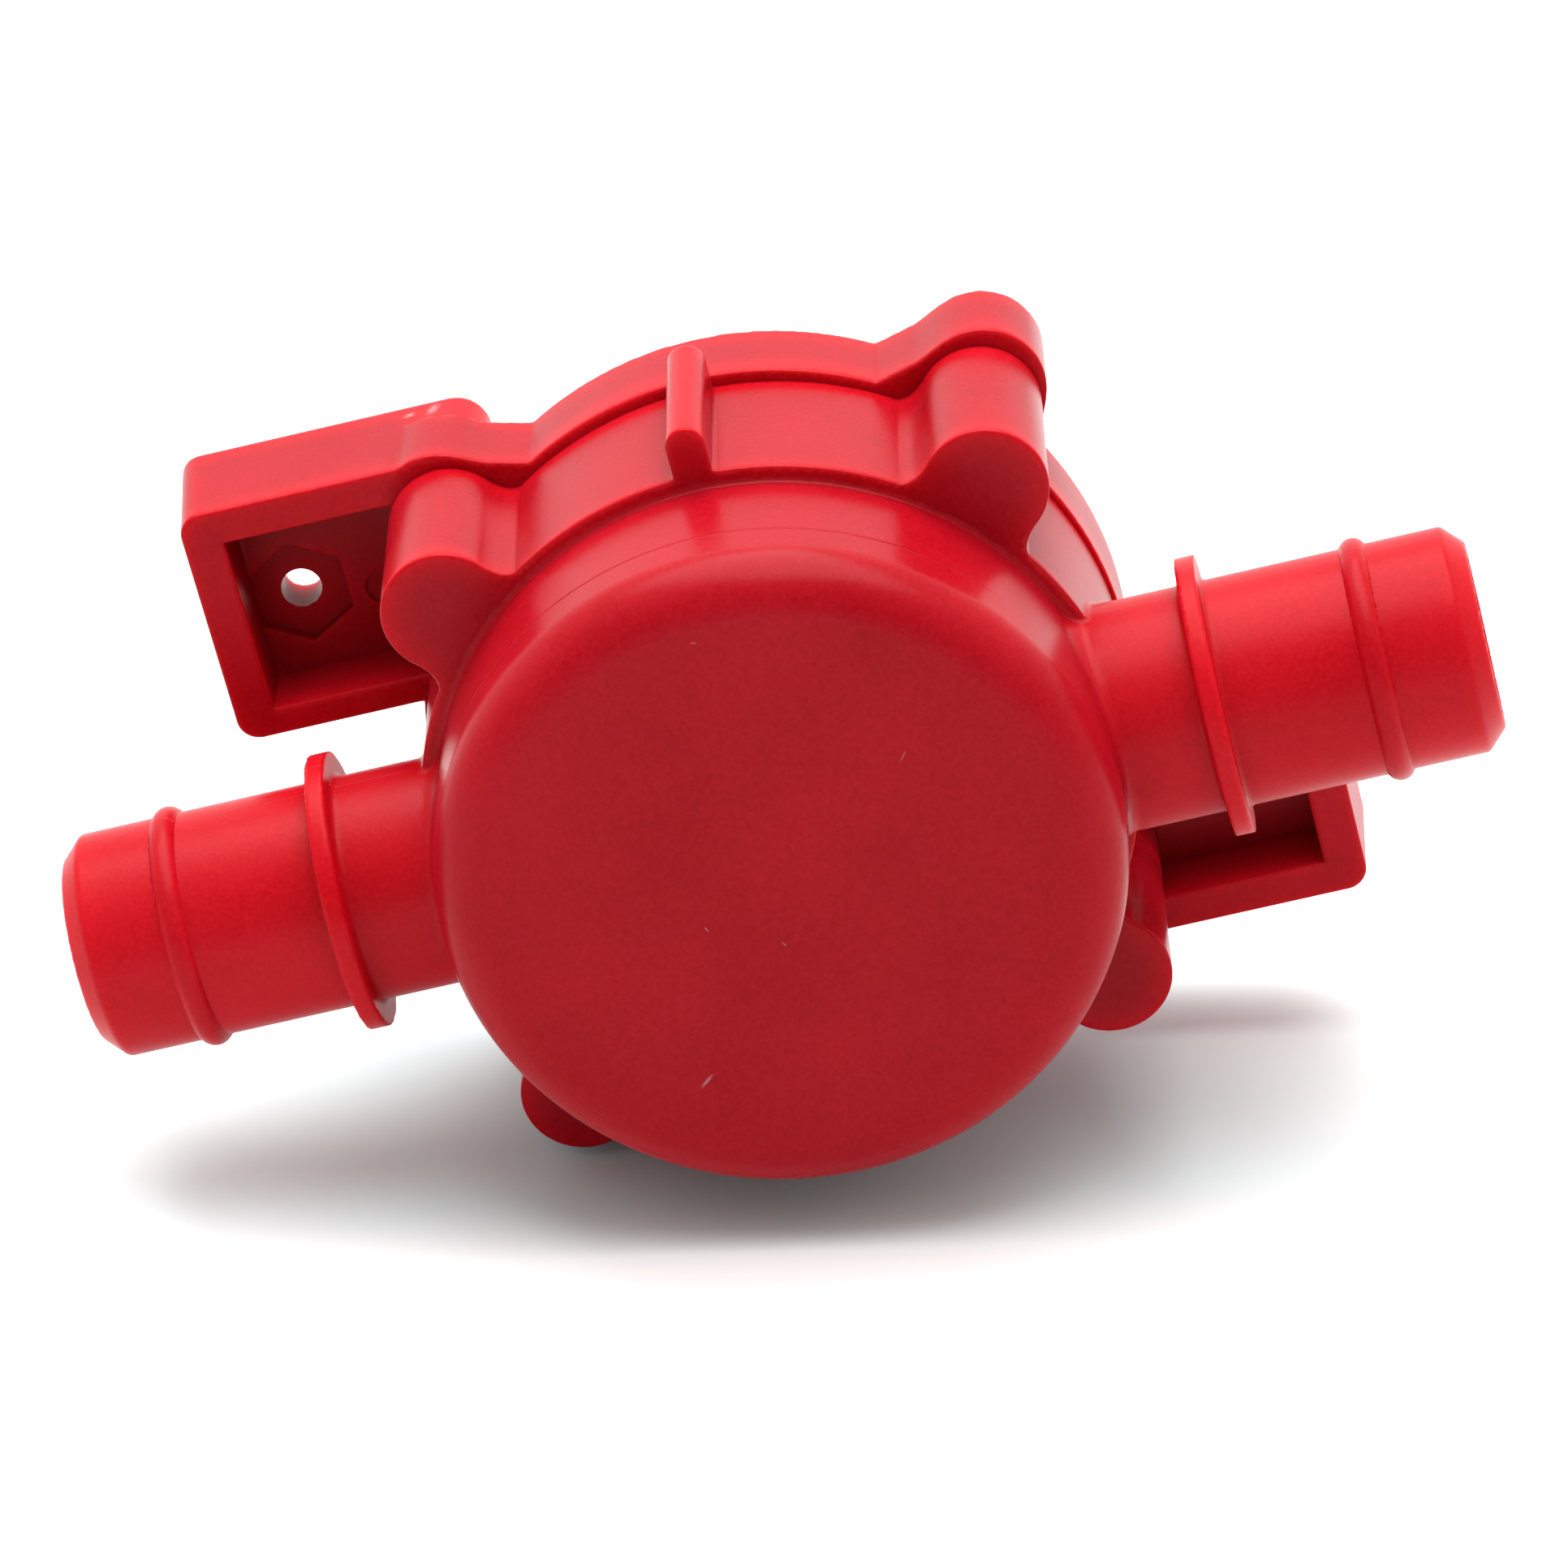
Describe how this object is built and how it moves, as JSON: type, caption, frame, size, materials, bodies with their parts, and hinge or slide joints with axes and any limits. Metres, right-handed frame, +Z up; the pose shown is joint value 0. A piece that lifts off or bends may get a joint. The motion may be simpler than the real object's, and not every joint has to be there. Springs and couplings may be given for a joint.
{
  "type": "in-line non-return valve",
  "caption": "Round bulkhead-mounted moulded valve housing with two in-line hose tails, screw towers, box feet and a swinging flap inside.",
  "frame": {"origin": "centre of the bounding box", "axes": "+X along the hose tails from inlet to outlet, +Y towards the mounting plane behind the feet, +Z up as the valve hangs on a bulkhead"},
  "size_m": [0.1256, 0.0512, 0.0714],
  "materials": {
    "red_plastic": "satin moulded",
    "black_rubber": "matt",
    "grey_plastic": "matt moulded",
    "stainless": "brushed"
  },
  "bodies": {
    "housing": {"valve_body": "red_plastic", "rear_cover": "red_plastic", "cover_o_ring": "black_rubber", "cover_screw_1": "stainless", "screw_washer_1": "stainless", "cover_screw_2": "stainless", "screw_washer_2": "stainless", "cover_screw_3": "stainless", "screw_washer_3": "stainless", "cover_screw_4": "stainless", "screw_washer_4": "stainless", "seat_plate": "grey_plastic", "seat_plate_seal": "black_rubber", "seat_ring": "stainless", "hinge_pin": "stainless", "pin_clip_1": "stainless", "pin_clip_2": "stainless"},
    "flap": {"flap_plate": "stainless", "flap_seal": "black_rubber", "flap_washer": "stainless", "flap_screw": "stainless", "flap_nut": "stainless"}
  },
  "joints": [
    {"name": "flap_swing", "type": "hinge", "parent": "housing", "child": "flap", "pos_m": [-0.0007, -0.00635, 0.015], "axis": [0, -1, 0], "range_deg": [0, 55]}
  ]
}
